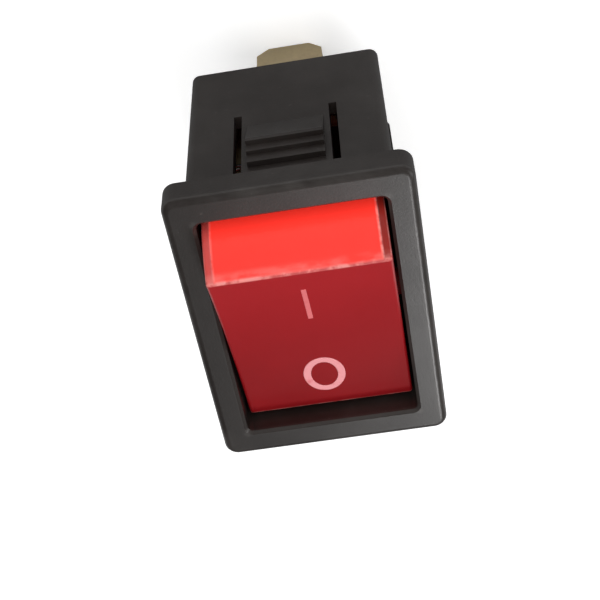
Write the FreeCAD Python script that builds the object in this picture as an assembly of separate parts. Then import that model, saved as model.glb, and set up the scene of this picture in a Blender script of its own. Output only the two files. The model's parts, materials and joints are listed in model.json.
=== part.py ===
import FreeCAD, Part
import math
import os

# Panel rocker switch, lit, single pole, three tabs. Millimetres.
# Origin: centre of the bezel's underside (the panel plane). +Z leaves the
# switch face, X is the rocker's axis, +Y points to the raised "I" end.

V = FreeCAD.Vector

# Bezel and body
BEZEL_T = 2.0
BORDER_X = 1.8
BORDER_Y = 1.9
BEZEL_CORNER_R = 0.9
BEZEL_EDGE_R = 0.45
SIDE_WALL = 0.65
END_WALL = 0.85
BODY_CORNER_R = 0.6
SIDE_GAP = 0.2
END_GAP = 0.232
OPEN_CORNER_R = 0.4
OPEN_CHAMFER = 0.2
FLOOR_T = 1.2

# Rocker, in its own frame: pivot at the origin, face level
PIVOT_Z = -1.1
THROW_HALF = 16.0
ROCKER_X = 11.0
FACE_HALF_L = 7.43
FACE_H = 3.85
FACE_DISH = 0.4
ROCKER_WALL = 0.9
ROOF_T = 1.0
SIDE_LOW_IN = 3.43
SIDE_LOW_Z = -2.6
EDGE_R = 0.22
TRUNNION_R = 0.9
TRUNNION_REACH = 0.72
TRUNNION_FIT = 0.05
TRUNNION_CHAMFER = 0.25
WEB_T = 0.8
WEB_LOW_Z = -1.6
RIB_T = 0.7
RIB_FIT = 0.02
LAMP_RIB_IN = 1.3
LAMP_RIB_HALF_Y = 1.5
RESISTOR_RIB_HALF_Y = 1.2

# Plunger and the tube that guides it
PLUNGER_R = 1.0
PLUNGER_FIT = 0.1
TUBE_WALL = 0.6
TUBE_LOW_Z = -3.0
PLUNGER_TOP_Z = -1.4
PLUNGER_CONE_Z = -5.0
TIP_R = 0.5
TIP_REACH = 6.6
PLUNGER_STEM_R = 0.45
PLUNGER_STEM_L = 1.6

# Contact lever, in its own frame: bead centre at the origin
LEVER_HALF_THROW = 8.0
LEVER_X = 3.4
LEVER_T = 0.45
LEVER_DIP_TOP = 0.45
LEVER_DIP_Y = 1.7
LEVER_DIP_SPREAD = 0.2
LEVER_LONG_END = 0.31
LEVER_SHORT_GAP = 1.0
LEVER_TIP_R = 1.0
BEAD_R = 0.42
BEAD_FIT = 0.04
SADDLE_HALF_Y = 1.1
SADDLE_TOP = 0.16
SADDLE_LOW = 1.3
CHEEK_GAP = 0.15
CHEEK_RISE = 0.75
CHEEK_R = 0.5
TIP_MID_CLEAR = 0.06
REST_CLEAR = 0.02

# Contacts
CONTACT_R = 1.1
CONTACT_EDGE_T = 0.4
CONTACT_DOME_R = 3.0
CONTACT_DOME_H = 0.22
FIXED_CONTACT_T = 0.6
CONTACT_IN = 1.22
RIVET_R = 0.55
RIVET_TAIL_R = 0.8
RIVET_TAIL_T = 0.3
FIXED_CONTACT_CHAMFER = 0.12
RIVET_TAIL_CHAMFER = 0.1

# Terminals
TAB_X = 4.8
TAB_T = 0.8
TAB_LENGTH = 8.5
STRAP_RISE = 2.1
TAB_TIP_CHAMFER = 0.9
TAB_HOLE_R = 0.75
TAB_HOLE_UP = 3.6
SHOULDER_HALF_X = 3.0
SHOULDER_T = 1.2
STRAP_X = 4.0
STRAP_BEND_R = 0.48
STRAP_IN = 0.4
SHELF_OVER = 0.18
EAR_X = 1.6
EAR_DROP = 6.4
PEG_X = 0.5
PEG_H = 0.9
TAB_FIT = 0.03

# Lamp springs and their posts
POST_SIDE_GAP = 0.15
POST_IN = 0.72
SPRING_R = 0.62
SPRING_WIRE_R = 0.11
SPRING_TURNS = 4
PLUNGER_SPRING_R = 0.78
PLUNGER_SPRING_WIRE_R = 0.13
PLUNGER_SPRING_TURNS = 3
POST_R = 0.75
POST_LOW_Z = 0.32
POST_PIN_R = 0.3
POST_PIN_LOW_Z = -0.45
LOOP_Z = 0.13
EYE_FIT = 0.06
EYE_T = 0.24
LEAD_INTO_EYE = 0.05

# Lamp and resistor, in the rocker's frame
LAMP_IN = 1.37
LAMP_Z = 0.3
LAMP_R = 1.75
LAMP_WALL = 0.3
LAMP_FOOT_GAP = 1.2
LAMP_TIP_GAP = 1.1
LAMP_FOOT_L = 1.0
LAMP_DOME_L = 1.6
ELECTRODE_R = 0.28
ELECTRODE_OFF = 0.55
ELECTRODE_IN = 0.4
LEAD_R = 0.16
LINK_SLOPE_Y = 0.7
LEAD_SLOPE_Y = 0.5
RESISTOR_IN = 2.22
RESISTOR_Z = 0.9
RESISTOR_R = 0.75
RESISTOR_CAP_R = 0.95
RESISTOR_HALF_X = 2.1
CAP_L = 0.9
CAP_END_T = 0.1
CAP_CHAMFER = 0.2
SLEEVE_R = 0.4
SLEEVE_FIT = 0.03
SLEEVE_HALF_Y = 2.4

# Snap latches, ribs, posts
LATCH_X = 5.6
LATCH_GAP = 0.5
LATCH_TOP_Z = -1.4
LATCH_LOW_Z = -8.2
LATCH_STEPS = ((0.95, -3.6), (0.65, -2.9), (0.38, -2.1))
LATCH_TOE_Z = -6.9
LATCH_NOSE_T = 0.3
TOOTH_IN = 0.4
CRUSH_RIB_OUT = 0.14
CRUSH_RIB_W = 0.6
CRUSH_RIB_IN = 3.44
CRUSH_RIB_TOP_Z = -2.1
CRUSH_RIB_LOW_Z = -11.0
CRUSH_RIB_LEAD = 1.2
BARRIER_X = 8.6
BARRIER_T = 0.7
BARRIER_H = 1.3
CORNER_POST_X = 1.0
CORNER_POST_Y = 1.6
REST_POST_IN = 1.0
REST_POST_T = 0.8
REST_POST_X = 3.0

END_R = math.hypot(FACE_HALF_L, FACE_H)
OPEN_X = ROCKER_X + 2.0 * SIDE_GAP
OPEN_Y = 2.0 * (END_R + END_GAP)
BODY_X = OPEN_X + 2.0 * SIDE_WALL
BODY_Y = OPEN_Y + 2.0 * END_WALL
BEZEL_X = OPEN_X + 2.0 * BORDER_X
BEZEL_Y = OPEN_Y + 2.0 * BORDER_Y
SIDE_LOW_Y = FACE_HALF_L - SIDE_LOW_IN
INNER_R = END_R - ROCKER_WALL
SPRING_X = ROCKER_X / 2.0 - ROCKER_WALL - POST_R - POST_SIDE_GAP
SPRING_POST_Y = INNER_R - POST_R - POST_IN
TAB_PITCH = SPRING_POST_Y * math.cos(math.radians(THROW_HALF))
LAMP_Y = INNER_R - LAMP_R - LAMP_IN
LAMP_LOW_X = LAMP_FOOT_GAP - SPRING_X
LAMP_HIGH_X = ROCKER_X / 2.0 - ROCKER_WALL - LAMP_TIP_GAP
RESISTOR_Y = RESISTOR_IN + RESISTOR_CAP_R - INNER_R
TUBE_R = PLUNGER_R + PLUNGER_FIT
EYE_R = POST_PIN_R + LEAD_R + EYE_FIT
FULCRUM_Z = PIVOT_Z - TIP_REACH - LEVER_DIP_TOP - TIP_R - TIP_MID_CLEAR
EAR_TOP_Z = PIVOT_Z - EAR_DROP
FIXED_CONTACT_Y = CONTACT_IN - TAB_PITCH
SHELF_Y = CONTACT_IN + CONTACT_R + TAB_T / 2.0 + SHELF_OVER
LEVER_SHORT_Y = TAB_PITCH - TAB_T / 2.0 - LEVER_SHORT_GAP
REST_POST_Y = LEVER_SHORT_Y - REST_POST_IN


def turn(y, z, degrees):
    """Turn a (y, z) pair about X."""
    c = math.cos(math.radians(degrees))
    s = math.sin(math.radians(degrees))
    return y * c - z * s, y * s + z * c


def tip_height_over_lever():
    """Height of the plunger's ball centre over the bead at the end of the throw."""
    y, z = turn(0.0, -TIP_REACH, THROW_HALF)
    z = z + PIVOT_Z - FULCRUM_Z
    return turn(y, z, LEVER_HALF_THROW)[1]


ARM_TOP = tip_height_over_lever() - TIP_R - REST_CLEAR
ARM_LOW = ARM_TOP - LEVER_T


def contact_seat_z():
    """Level of the fixed contact's top face, just under the closed dome."""
    c = math.cos(math.radians(LEVER_HALF_THROW))
    s = math.sin(math.radians(LEVER_HALF_THROW))
    t = contact_reach()
    return FULCRUM_Z + t * s + dome_centre_n() * c - CONTACT_DOME_R - REST_CLEAR


def dome_centre_n():
    return ARM_LOW - CONTACT_EDGE_T - CONTACT_DOME_H + CONTACT_DOME_R


def contact_reach():
    """Place of the moving contact along the lever."""
    c = math.cos(math.radians(LEVER_HALF_THROW))
    s = math.sin(math.radians(LEVER_HALF_THROW))
    return (FIXED_CONTACT_Y + dome_centre_n() * s) / c


LEVER_LONG_Y = CONTACT_R + LEVER_LONG_END - contact_reach()
SHELF_TOP_Z = contact_seat_z() - FIXED_CONTACT_T
FLOOR_TOP_Z = SHELF_TOP_Z - TAB_T - RIVET_TAIL_T - STRAP_RISE
BODY_DEPTH = FLOOR_T - FLOOR_TOP_Z
TAB_LOW_Z = -BODY_DEPTH - TAB_LENGTH


def point(y, z):
    return V(0.0, y, z)


def prism(edges_or_points, width, x0=None):
    """Extrude a closed YZ outline along X, centred unless x0 is given."""
    if isinstance(edges_or_points[0], tuple):
        pts = [point(y, z) for y, z in edges_or_points]
        wire = Part.makePolygon(pts + [pts[0]])
    else:
        wire = Part.Wire(edges_or_points)
    start = -width / 2.0 if x0 is None else x0
    face = Part.Face(wire)
    face.translate(V(start, 0.0, 0.0))
    return face.extrude(V(width, 0.0, 0.0))


def line(p, q):
    return Part.LineSegment(point(*p), point(*q)).toShape()


def arc(p, m, q):
    return Part.Arc(point(*p), point(*m), point(*q)).toShape()


def box(x0, x1, y0, y1, z0, z1):
    return Part.makeBox(x1 - x0, y1 - y0, z1 - z0, V(x0, y0, z0))


def upright_edges(shape):
    found = []
    for edge in shape.Edges:
        a = edge.Vertexes[0].Point
        b = edge.Vertexes[-1].Point
        if math.hypot(a.x - b.x, a.y - b.y) < 1e-6 and abs(a.z - b.z) > 1e-6:
            found.append(edge)
    return found


def edges_at(shape, z, tol=1e-4):
    found = []
    for edge in shape.Edges:
        bb = edge.BoundBox
        if abs(bb.ZMin - z) < tol and abs(bb.ZMax - z) < tol:
            found.append(edge)
    return found


def rounded_block(size_x, size_y, z0, z1, radius):
    block = box(-size_x / 2.0, size_x / 2.0, -size_y / 2.0, size_y / 2.0, z0, z1)
    return block.makeFillet(radius, upright_edges(block))


def rod_x(x0, x1, y, z, radius):
    return Part.makeCylinder(radius, x1 - x0, V(x0, y, z), V(1, 0, 0))


def wire_run(points, radius):
    """Round wire through the points, with ball corners."""
    solids = []
    for a, b in zip(points, points[1:]):
        start = V(*a)
        way = V(*b).sub(start)
        solids.append(Part.makeCylinder(radius, way.Length, start, way))
    for p in points[1:-1]:
        solids.append(Part.makeSphere(radius, V(*p)))
    return solids[0].multiFuse(solids[1:]).removeSplitter()


def coil(x, y, z0, z1, radius, wire_r, turns):
    """Square-section coil between z0 and z1."""
    height = z1 - z0 - 2.0 * wire_r
    helix = Part.makeHelix(height / turns, height, radius)
    corners = [(-1, -1), (1, -1), (1, 1), (-1, 1)]
    pts = [V(radius + wire_r * i, 0, wire_r * j) for i, j in corners]
    section = Part.makePolygon(pts + [pts[0]])
    solid = Part.Wire(helix).makePipeShell([section], True, True)
    solid.translate(V(x, y, z0 + wire_r))
    return solid


# Housing

def latch_tooth():
    """Stepped tooth of one snap latch, on the +Y end wall."""
    wall = BODY_Y / 2.0
    outline = [(wall - 0.3, LATCH_TOE_Z), (wall, LATCH_TOE_Z)]
    reach, step_z = LATCH_STEPS[0]
    outline.append((wall + reach, step_z - LATCH_NOSE_T))
    outline.append((wall + reach, step_z))
    for reach, next_z in LATCH_STEPS[1:]:
        outline.append((wall + reach, step_z))
        outline.append((wall + reach, next_z))
        step_z = next_z
    outline.append((wall - 0.3, step_z))
    clean = [outline[0]]
    for pair in outline[1:]:
        if pair != clean[-1]:
            clean.append(pair)
    return prism(clean, LATCH_X - 2.0 * TOOTH_IN)


def latch_slots():
    """Three cuts that free one latch tongue from the +Y end wall."""
    y0 = OPEN_Y / 2.0 - 0.1
    y1 = BODY_Y / 2.0 + 0.1
    half = LATCH_X / 2.0
    top = LATCH_TOP_Z + LATCH_GAP
    right = box(half, half + LATCH_GAP, y0, y1, LATCH_LOW_Z, top)
    left = box(-half - LATCH_GAP, -half, y0, y1, LATCH_LOW_Z, top)
    over = box(-half, half, y0, y1, LATCH_TOP_Z, top)
    return right.multiFuse([left, over])


def both_ends(shape):
    """The shape and its copy turned half a turn about Z."""
    other = shape.copy()
    other.rotate(V(0, 0, 0), V(0, 0, 1), 180)
    return [shape, other]


def four_corners(shape):
    copies = both_ends(shape)
    mirrored = [s.mirror(V(0, 0, 0), V(1, 0, 0)) for s in copies]
    return copies + mirrored


def crush_rib():
    wall = BODY_X / 2.0
    low = CRUSH_RIB_LOW_Z
    outline = [(wall - 0.2, CRUSH_RIB_TOP_Z), (wall + CRUSH_RIB_OUT, CRUSH_RIB_TOP_Z)]
    outline += [(wall + CRUSH_RIB_OUT, low), (wall - 0.2, low - CRUSH_RIB_LEAD)]
    y = OPEN_Y / 2.0 - CRUSH_RIB_IN - CRUSH_RIB_W / 2.0
    pts = [V(x, y, z) for x, z in outline]
    face = Part.Face(Part.makePolygon(pts + [pts[0]]))
    return face.extrude(V(0, CRUSH_RIB_W, 0))


def stop_height():
    """Level of the rocker's lower side edge at the end of its throw."""
    return PIVOT_Z + turn(-SIDE_LOW_Y, SIDE_LOW_Z, THROW_HALF)[1] - REST_CLEAR


def corner_post():
    x1 = OPEN_X / 2.0 + 0.1
    y1 = OPEN_Y / 2.0 + 0.1
    return box(
        OPEN_X / 2.0 - CORNER_POST_X, x1,
        OPEN_Y / 2.0 - CORNER_POST_Y, y1,
        FLOOR_TOP_Z - 0.1, stop_height(),
    )


def lever_low_z_at(y):
    """Underside of the lever's short arm over y, with the switch off."""
    s = math.sin(math.radians(LEVER_HALF_THROW))
    c = math.cos(math.radians(LEVER_HALF_THROW))
    t = (y - ARM_LOW * s) / c
    return FULCRUM_Z - t * s + ARM_LOW * c


def rest_post():
    top = lever_low_z_at(REST_POST_Y) - REST_CLEAR
    radius = REST_POST_T / 2.0
    crown_z = top - radius / math.cos(math.radians(LEVER_HALF_THROW))
    stem = box(
        -REST_POST_X / 2.0, REST_POST_X / 2.0,
        REST_POST_Y - radius, REST_POST_Y + radius,
        FLOOR_TOP_Z - 0.1, crown_z,
    )
    crown = rod_x(-REST_POST_X / 2.0, REST_POST_X / 2.0, REST_POST_Y, crown_z, radius)
    return stem.fuse(crown)


def barrier(y):
    return box(
        -BARRIER_X / 2.0, BARRIER_X / 2.0,
        y - BARRIER_T / 2.0, y + BARRIER_T / 2.0,
        -BODY_DEPTH - BARRIER_H, -BODY_DEPTH + 0.1,
    )


def tab_slot(y):
    half_x = TAB_X / 2.0 + TAB_FIT
    half_y = TAB_T / 2.0 + TAB_FIT
    return box(-half_x, half_x, y - half_y, y + half_y, -BODY_DEPTH - 0.1, FLOOR_TOP_Z + 0.1)


def housing():
    flange = rounded_block(BEZEL_X, BEZEL_Y, 0.0, BEZEL_T, BEZEL_CORNER_R)
    flange = flange.makeFillet(BEZEL_EDGE_R, edges_at(flange, BEZEL_T))
    shell = rounded_block(BODY_X, BODY_Y, -BODY_DEPTH, 0.2, BODY_CORNER_R)
    cavity = rounded_block(OPEN_X, OPEN_Y, FLOOR_TOP_Z, BEZEL_T + 0.5, OPEN_CORNER_R)
    solid = flange.fuse(shell).cut(cavity).removeSplitter()
    rim = []
    for edge in edges_at(solid, BEZEL_T):
        bb = edge.BoundBox
        inside_x = max(abs(bb.XMin), abs(bb.XMax)) < OPEN_X / 2.0 + 0.01
        inside_y = max(abs(bb.YMin), abs(bb.YMax)) < OPEN_Y / 2.0 + 0.01
        if inside_x and inside_y:
            rim.append(edge)
    solid = solid.makeChamfer(OPEN_CHAMFER, rim)
    adds = both_ends(latch_tooth())
    adds += four_corners(corner_post())
    adds += four_corners(crush_rib())
    adds += [rest_post()]
    adds += [barrier(TAB_PITCH / 2.0), barrier(-TAB_PITCH / 2.0)]
    solid = solid.multiFuse(adds)
    hole_r = TRUNNION_R + TRUNNION_FIT
    cuts = both_ends(latch_slots())
    cuts += [rod_x(-BODY_X, BODY_X, 0.0, PIVOT_Z, hole_r)]
    cuts += [tab_slot(y) for y in (-TAB_PITCH, 0.0, TAB_PITCH)]
    for cutter in cuts:
        solid = solid.cut(cutter)
    return solid.removeSplitter()


# Terminals

def tab_blade(y, top_z):
    """Tab below the floor, with chamfered tip and wire hole."""
    half = TAB_X / 2.0
    c = TAB_TIP_CHAMFER
    outline = [(-half, top_z), (-half, TAB_LOW_Z + c), (-half + c, TAB_LOW_Z)]
    outline += [(half - c, TAB_LOW_Z), (half, TAB_LOW_Z + c), (half, top_z)]
    pts = [V(x, y - TAB_T / 2.0, z) for x, z in outline]
    blade = Part.Face(Part.makePolygon(pts + [pts[0]])).extrude(V(0, TAB_T, 0))
    hole = Part.makeCylinder(
        TAB_HOLE_R, TAB_T + 0.2, V(0, y - TAB_T / 2.0 - 0.1, TAB_LOW_Z + TAB_HOLE_UP), V(0, 1, 0)
    )
    return blade.cut(hole)


def shoulder(y, ear_side):
    """Wide step that sits on the floor, reaching to the spring's ear."""
    high = SPRING_X + EAR_X / 2.0
    x0 = -SHOULDER_HALF_X if ear_side >= 0 else -high
    x1 = SHOULDER_HALF_X if ear_side <= 0 else high
    return box(
        x0, x1, y - TAB_T / 2.0, y + TAB_T / 2.0,
        FLOOR_TOP_Z + REST_CLEAR, FLOOR_TOP_Z + SHOULDER_T,
    )


def spring_ear(y, side):
    """Upright that carries a lamp spring, with a peg for its end coil."""
    x = side * SPRING_X
    y0 = y - TAB_T / 2.0
    y1 = y + TAB_T / 2.0
    upright = box(x - EAR_X / 2.0, x + EAR_X / 2.0, y0, y1, FLOOR_TOP_Z + SHOULDER_T - 0.1, EAR_TOP_Z)
    peg = box(x - PEG_X / 2.0, x + PEG_X / 2.0, y0 + 0.05, y1 - 0.05, EAR_TOP_Z - 0.1, EAR_TOP_Z + PEG_H)
    return upright.fuse(peg)


def load_terminal():
    y = -TAB_PITCH
    shelf_top = SHELF_TOP_Z
    shelf_low = shelf_top - TAB_T
    half = STRAP_X / 2.0
    y_back = y - TAB_T / 2.0
    strap = box(-half, half, y_back, y + TAB_T / 2.0, FLOOR_TOP_Z + 0.1, shelf_top)
    shelf = box(-half, half, y_back, y_back + SHELF_Y, shelf_low, shelf_top)
    body = strap.fuse(shelf).removeSplitter()
    outer = [
        e for e in edges_at(body, shelf_top)
        if abs(e.BoundBox.YMin - y_back) < 1e-4 and abs(e.BoundBox.YMax - y_back) < 1e-4
    ]
    body = body.makeFillet(STRAP_BEND_R, outer)
    hole = Part.makeCylinder(RIVET_R, TAB_T + 0.2, V(0, FIXED_CONTACT_Y, shelf_low - 0.1))
    solid = body.cut(hole).multiFuse(
        [tab_blade(y, FLOOR_TOP_Z + 0.2), shoulder(y, 1), spring_ear(y, 1)]
    )
    return solid.removeSplitter()


def fixed_contact():
    top = contact_seat_z()
    low = top - FIXED_CONTACT_T
    head = Part.makeCylinder(CONTACT_R, FIXED_CONTACT_T, V(0, FIXED_CONTACT_Y, low))
    head = head.makeChamfer(FIXED_CONTACT_CHAMFER, edges_at(head, top))
    shank = Part.makeCylinder(RIVET_R, TAB_T + 0.1, V(0, FIXED_CONTACT_Y, low - TAB_T - 0.05))
    tail = Part.makeCylinder(RIVET_TAIL_R, RIVET_TAIL_T, V(0, FIXED_CONTACT_Y, low - TAB_T - RIVET_TAIL_T))
    return head.multiFuse([shank, tail]).removeSplitter()


def common_terminal():
    saddle_top = FULCRUM_Z - SADDLE_TOP
    saddle_low = FULCRUM_Z - SADDLE_LOW
    cheek_top = FULCRUM_Z + CHEEK_RISE
    reach = SADDLE_HALF_Y
    half = TAB_X / 2.0
    strap = box(
        STRAP_IN - half, half - STRAP_IN, -TAB_T / 2.0, TAB_T / 2.0, FLOOR_TOP_Z + 0.1, saddle_low + 0.1
    )
    saddle = box(-half, half, -reach, reach, saddle_low, saddle_top)
    cheek_x = LEVER_X / 2.0 + CHEEK_GAP
    cheek = box(cheek_x, half, -reach, reach, saddle_low, cheek_top)
    top_edges = [e for e in edges_at(cheek, cheek_top) if e.BoundBox.XLength > 0.1]
    cheek = cheek.makeFillet(CHEEK_R, top_edges)
    other = cheek.mirror(V(0, 0, 0), V(1, 0, 0))
    body = strap.multiFuse([saddle, cheek, other, tab_blade(0.0, FLOOR_TOP_Z + 0.2), shoulder(0.0, 0)])
    notch = rod_x(-cheek_x, cheek_x, 0.0, FULCRUM_Z, BEAD_R + BEAD_FIT)
    return body.cut(notch).removeSplitter()


def lamp_terminal():
    y = TAB_PITCH
    return tab_blade(y, FLOOR_TOP_Z + 0.2).multiFuse([shoulder(y, -1), spring_ear(y, -1)]).removeSplitter()


# Rocker

def end_point(radius, degrees, side):
    a = math.radians(degrees)
    return side * radius * math.cos(a), radius * math.sin(a)


def end_low_angle():
    """Angle on the end arc where the sloped lower edge meets it."""
    k = SIDE_LOW_Z - SIDE_LOW_Y * math.tan(math.radians(THROW_HALF))
    return THROW_HALF + math.degrees(math.asin(k * math.cos(math.radians(THROW_HALF)) / END_R))


def rocker_outline():
    """Closed YZ outline: dished face, end arcs about the pivot, sloped lower edges."""
    low = end_low_angle()
    a = (-FACE_HALF_L, FACE_H)
    b = (FACE_HALF_L, FACE_H)
    c = end_point(END_R, low, 1)
    d = end_point(END_R, low, -1)
    edges = [arc(a, (0.0, FACE_H - FACE_DISH), b)]
    edges.append(arc(b, end_point(END_R, low + 15.0, 1), c))
    edges.append(line(c, (SIDE_LOW_Y, SIDE_LOW_Z)))
    edges.append(line((SIDE_LOW_Y, SIDE_LOW_Z), (-SIDE_LOW_Y, SIDE_LOW_Z)))
    edges.append(line((-SIDE_LOW_Y, SIDE_LOW_Z), d))
    edges.append(arc(d, end_point(END_R, low + 15.0, -1), a))
    return edges


def hollow_outline():
    """Closed YZ outline of the rocker's hollow, open below."""
    radius = END_R - ROCKER_WALL
    face_z = FACE_H - ROOF_T
    top_angle = math.degrees(math.asin(face_z / radius))
    low_z = SIDE_LOW_Z - 0.5
    a = end_point(radius, top_angle, -1)
    b = end_point(radius, top_angle, 1)
    c = end_point(radius, -18.0, 1)
    d = end_point(radius, -18.0, -1)
    edges = [arc(a, (0.0, face_z - FACE_DISH), b), arc(b, end_point(radius, 2.0, 1), c)]
    edges += [line(c, (c[0], low_z)), line((c[0], low_z), (d[0], low_z)), line((d[0], low_z), d)]
    edges.append(arc(d, end_point(radius, 2.0, -1), a))
    return edges


def rocker_skin():
    outer = prism(rocker_outline(), ROCKER_X)
    soft = []
    for edge in outer.Edges:
        bb = edge.BoundBox
        on_face = bb.ZMin > FACE_H - FACE_DISH - 0.05
        on_end = bb.XLength < 1e-4 and bb.ZMax > FACE_H - 0.05 and bb.YLength < 2.0
        if on_face or on_end:
            soft.append(edge)
    outer = outer.makeFillet(EDGE_R, soft)
    hollow = prism(hollow_outline(), ROCKER_X - 2.0 * ROCKER_WALL)
    return outer.cut(hollow)


def saddle_rib(x, y, z, bore, half_y, low_z):
    """Rib under the roof with a round seat for a lamp or resistor."""
    roof_z = FACE_H - ROOF_T - FACE_DISH / 2.0
    rib = box(x - RIB_T / 2.0, x + RIB_T / 2.0, y - half_y, y + half_y, low_z, roof_z)
    return rib.cut(rod_x(x - RIB_T, x + RIB_T, y, z, bore))


def spring_post(side):
    """Round post under the roof that bears on a lamp spring."""
    x = -side * SPRING_X
    y = side * SPRING_POST_Y
    post = Part.makeCylinder(POST_R, FACE_H - ROOF_T - POST_LOW_Z + 0.2, V(x, y, POST_LOW_Z))
    pin = Part.makeCylinder(POST_PIN_R, POST_LOW_Z - POST_PIN_LOW_Z + 0.1, V(x, y, POST_PIN_LOW_Z))
    return post.fuse(pin)


def trunnion(side):
    reach = ROCKER_X / 2.0 + TRUNNION_REACH
    peg = Part.makeCylinder(TRUNNION_R, reach - ROCKER_X / 2.0 + 0.2, V(ROCKER_X / 2.0 - 0.2, 0, 0), V(1, 0, 0))
    tip = [e for e in peg.Edges if abs(e.BoundBox.XMin - reach) < 1e-4]
    peg = peg.makeChamfer(TRUNNION_CHAMFER, tip)
    return peg if side > 0 else peg.mirror(V(0, 0, 0), V(1, 0, 0))


def in_rocker(shape):
    """Bring a shape from the rocker's frame to the switched-off pose."""
    placed = shape.copy()
    placed.rotate(V(0, 0, 0), V(1, 0, 0), THROW_HALF)
    placed.translate(V(0, 0, PIVOT_Z))
    return placed


def rocker():
    skin = rocker_skin()
    roof_z = FACE_H - ROOF_T - FACE_DISH
    tube_r = TUBE_R + TUBE_WALL
    tube = Part.makeCylinder(tube_r, roof_z - TUBE_LOW_Z + 0.3, V(0, 0, TUBE_LOW_Z))
    web_x = (ROCKER_X - ROCKER_WALL) / 2.0
    webs = box(-web_x, web_x, -WEB_T / 2.0, WEB_T / 2.0, WEB_LOW_Z, roof_z + 0.2)
    adds = [tube, webs]
    for x in (LAMP_LOW_X + LAMP_RIB_IN, LAMP_HIGH_X - LAMP_RIB_IN):
        adds.append(saddle_rib(x, LAMP_Y, LAMP_Z, LAMP_R + RIB_FIT, LAMP_RIB_HALF_Y, LAMP_Z))
    adds.append(
        saddle_rib(0.0, RESISTOR_Y, RESISTOR_Z, RESISTOR_R + RIB_FIT, RESISTOR_RIB_HALF_Y, RESISTOR_Z)
    )
    adds += [spring_post(1), spring_post(-1), trunnion(1), trunnion(-1)]
    solid = skin.multiFuse(adds)
    bore = Part.makeCylinder(TUBE_R, roof_z - TUBE_LOW_Z + 0.1, V(0, 0, TUBE_LOW_Z - 0.1))
    sleeve_way = Part.makeCylinder(SLEEVE_R + SLEEVE_FIT, 2.0 * WEB_T, V(-SPRING_X, -WEB_T, RESISTOR_Z), V(0, 1, 0))
    solid = solid.cut(bore).cut(sleeve_way).removeSplitter()
    return in_rocker(solid)


def plunger():
    stem_top = PLUNGER_TOP_Z + PLUNGER_STEM_L
    profile = [(0, stem_top), (PLUNGER_STEM_R, stem_top), (PLUNGER_STEM_R, PLUNGER_TOP_Z)]
    profile += [(PLUNGER_R, PLUNGER_TOP_Z), (PLUNGER_R, PLUNGER_CONE_Z), (TIP_R, -TIP_REACH), (0, -TIP_REACH)]
    pts = [V(r, 0, z) for r, z in profile]
    body = Part.Face(Part.makePolygon(pts + [pts[0]])).revolve(V(0, 0, 0), V(0, 0, 1), 360)
    ball = Part.makeSphere(TIP_R, V(0, 0, -TIP_REACH))
    return in_rocker(body.fuse(ball).removeSplitter())


def plunger_spring():
    roof_z = FACE_H - ROOF_T - FACE_DISH
    solid = coil(
        0, 0, PLUNGER_TOP_Z + REST_CLEAR, roof_z - REST_CLEAR,
        PLUNGER_SPRING_R, PLUNGER_SPRING_WIRE_R, PLUNGER_SPRING_TURNS,
    )
    return in_rocker(solid)


# Lamp circuit

def loop(side):
    """Flattened wire eye that hangs on a spring post's pin."""
    centre = V(-side * SPRING_X, side * SPRING_POST_Y, LOOP_Z - EYE_T / 2.0)
    outer = Part.makeCylinder(EYE_R + LEAD_R, EYE_T, centre)
    return outer.cut(Part.makeCylinder(EYE_R - LEAD_R, EYE_T, centre))


def loop_edge(side, towards_y):
    x = -side * SPRING_X
    y = side * SPRING_POST_Y + towards_y * (EYE_R + LEAD_INTO_EYE)
    return x, y, LOOP_Z


def lamp_leads():
    """Paths of the two lamp leads, from electrode tip to far end."""
    low_x = LAMP_LOW_X
    turn_x = -SPRING_X
    y_in = LAMP_Y - ELECTRODE_OFF
    y_out = LAMP_Y + ELECTRODE_OFF
    link = [(low_x + ELECTRODE_IN, y_in, LAMP_Z), (turn_x, y_in, LAMP_Z)]
    link += [(turn_x, y_in - LINK_SLOPE_Y, RESISTOR_Z), (turn_x, RESISTOR_Y, RESISTOR_Z)]
    link += [(-RESISTOR_HALF_X, RESISTOR_Y, RESISTOR_Z)]
    out = [(low_x + ELECTRODE_IN, y_out, LAMP_Z), (turn_x, y_out, LOOP_Z), loop_edge(1, -1)]
    return link, out


def electrode(which):
    link, out = lamp_leads()
    y = LAMP_Y - ELECTRODE_OFF if which == "link" else LAMP_Y + ELECTRODE_OFF
    rod = rod_x(LAMP_LOW_X + ELECTRODE_IN, LAMP_HIGH_X - LAMP_DOME_L, y, LAMP_Z, ELECTRODE_R)
    if which == "link":
        return rod.fuse(wire_run(link, LEAD_R)).removeSplitter()
    return rod.multiFuse([wire_run(out, LEAD_R), loop(1)]).removeSplitter()


def lathe_x(points):
    """Turn a closed (x, r) half outline about the lamp's axis."""
    pts = [V(x, 0, r) for x, r in points]
    face = Part.Face(Part.makePolygon(pts + [pts[0]]))
    solid = face.revolve(V(0, 0, 0), V(1, 0, 0), 360)
    solid.translate(V(0, LAMP_Y, LAMP_Z))
    return solid


def dome_points(x0, length, radius, tip_r):
    """Points along a round end, from the full radius to the tip."""
    steps = 3
    points = []
    for i in range(1, steps + 1):
        a = math.radians(78.0 * i / steps)
        points.append((x0 + length * math.sin(a), max(radius * math.cos(a), tip_r)))
    return points


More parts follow.
